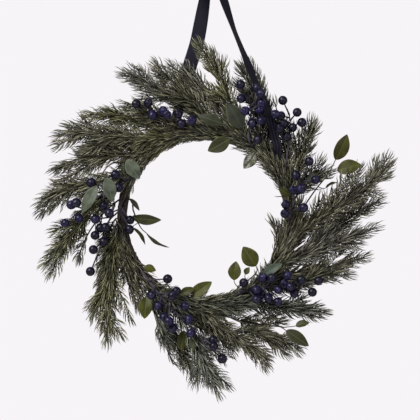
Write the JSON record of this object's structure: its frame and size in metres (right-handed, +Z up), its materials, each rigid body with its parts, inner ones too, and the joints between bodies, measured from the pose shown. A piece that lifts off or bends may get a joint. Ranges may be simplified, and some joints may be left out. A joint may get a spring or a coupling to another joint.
{
  "type": "christmas wreath",
  "caption": "Twig ring dressed with artificial conifer sprays, navy berries and green leaves, hung from a loop of dark ribbon.",
  "frame": {"origin": "middle of the ribbon's inner face, where the loop bears on its hook", "axes": "+Z up along the hanging ribbon, +Y back towards the wall, +X to the right seen from the front"},
  "size_m": [0.5791, 0.0913, 0.6747],
  "materials": {
    "twigs": "dry dark bark",
    "ribbon": "satin",
    "berries": "smooth with a pale bloom",
    "leaves_olive": "semi-matte, with veins",
    "leaves_grey": "matte, with veins",
    "needles_olive": "matte",
    "needles_moss": "matte",
    "needles_grey": "matte",
    "needles_blue": "matte"
  },
  "bodies": {
    "root": {"twig_ring": "twigs", "ribbon": "ribbon", "berry_sprig_top_left": "berries", "berry_sprig_top_right": "berries", "berry_sprig_right_high": "berries", "berry_sprig_right": "berries", "berry_sprig_lower_right": "berries", "berry_sprig_lower_left": "berries", "berry_sprig_left_high": "berries", "berry_sprig_left_low": "berries", "leaf_sprig_top": "leaves_grey", "leaf_sprig_top_inner": "leaves_olive", "leaf_sprig_right_outer": "leaves_olive", "leaf_sprig_right_inner": "leaves_olive", "leaf_sprig_lower_right_inner": "leaves_olive", "leaf_sprig_lower_right_outer": "leaves_olive", "leaf_sprig_right_low": "leaves_grey", "leaf_sprig_bottom": "leaves_grey", "leaf_sprig_bottom_inner": "leaves_olive", "leaf_sprig_lower_left": "leaves_olive", "leaf_sprig_left_inner": "leaves_olive", "leaf_sprig_left_high": "leaves_grey", "needle_spray_01": "needles_grey", "needle_spray_02": "needles_olive", "needle_spray_03": "needles_olive", "needle_spray_04": "needles_grey", "needle_spray_05": "needles_olive", "needle_spray_06": "needles_grey", "needle_spray_07": "needles_moss", "needle_spray_08": "needles_grey", "needle_spray_09": "needles_olive", "needle_spray_10": "needles_grey", "needle_spray_11": "needles_olive", "needle_spray_12": "needles_olive", "needle_spray_13": "needles_moss", "needle_spray_14": "needles_olive", "needle_spray_15": "needles_moss", "needle_spray_16": "needles_grey", "needle_spray_17": "needles_olive", "needle_spray_18": "needles_olive", "needle_spray_19": "needles_moss", "needle_spray_20": "needles_grey", "needle_spray_21": "needles_grey", "needle_spray_22": "needles_moss", "needle_spray_23": "needles_olive", "needle_spray_24": "needles_olive", "needle_spray_25": "needles_blue", "needle_spray_26": "needles_olive", "needle_spray_27": "needles_blue", "needle_spray_28": "needles_olive", "needle_spray_29": "needles_olive", "needle_spray_30": "needles_blue", "needle_spray_31": "needles_olive", "needle_spray_32": "needles_blue", "needle_spray_33": "needles_olive", "needle_spray_34": "needles_olive", "needle_spray_35": "needles_grey", "needle_spray_36": "needles_olive", "needle_spray_37": "needles_olive", "needle_spray_38": "needles_olive"}
  },
  "joints": []
}
